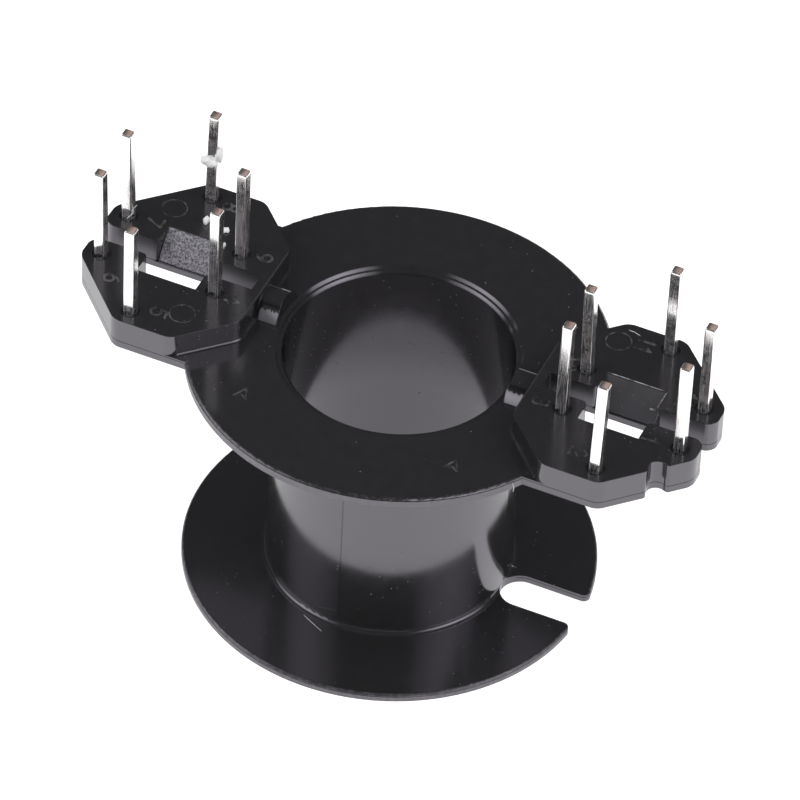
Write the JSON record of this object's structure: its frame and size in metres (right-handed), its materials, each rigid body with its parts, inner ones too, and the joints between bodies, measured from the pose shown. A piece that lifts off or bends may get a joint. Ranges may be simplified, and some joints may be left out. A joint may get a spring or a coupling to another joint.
{
  "type": "transformer bobbin",
  "caption": "Black moulded coil former for a pot-type ferrite core: a winding barrel between thin flanges, with slotted blocks on the upper flange that carry square solder pins.",
  "frame": {"origin": "centre of the bore on the standing face of the lower flange", "axes": "+Z along the bore towards the pin tips, +X through the pin block that holds pin one"},
  "size_m": [0.0382, 0.0244, 0.0239],
  "materials": {
    "black_moulding": "smooth black thermoset moulding with a low gloss and grained wire slopes",
    "tinned_pin": "bright drawn and tinned wire with sheared, brownish ends"
  },
  "bodies": {
    "root": {"bobbin_body": "black_moulding", "pin_1": "tinned_pin", "pin_2": "tinned_pin", "pin_3": "tinned_pin", "pin_4": "tinned_pin", "pin_5": "tinned_pin", "pin_6": "tinned_pin", "pin_7": "tinned_pin", "pin_8": "tinned_pin", "pin_9": "tinned_pin", "pin_10": "tinned_pin", "pin_11": "tinned_pin", "pin_12": "tinned_pin"}
  },
  "joints": []
}
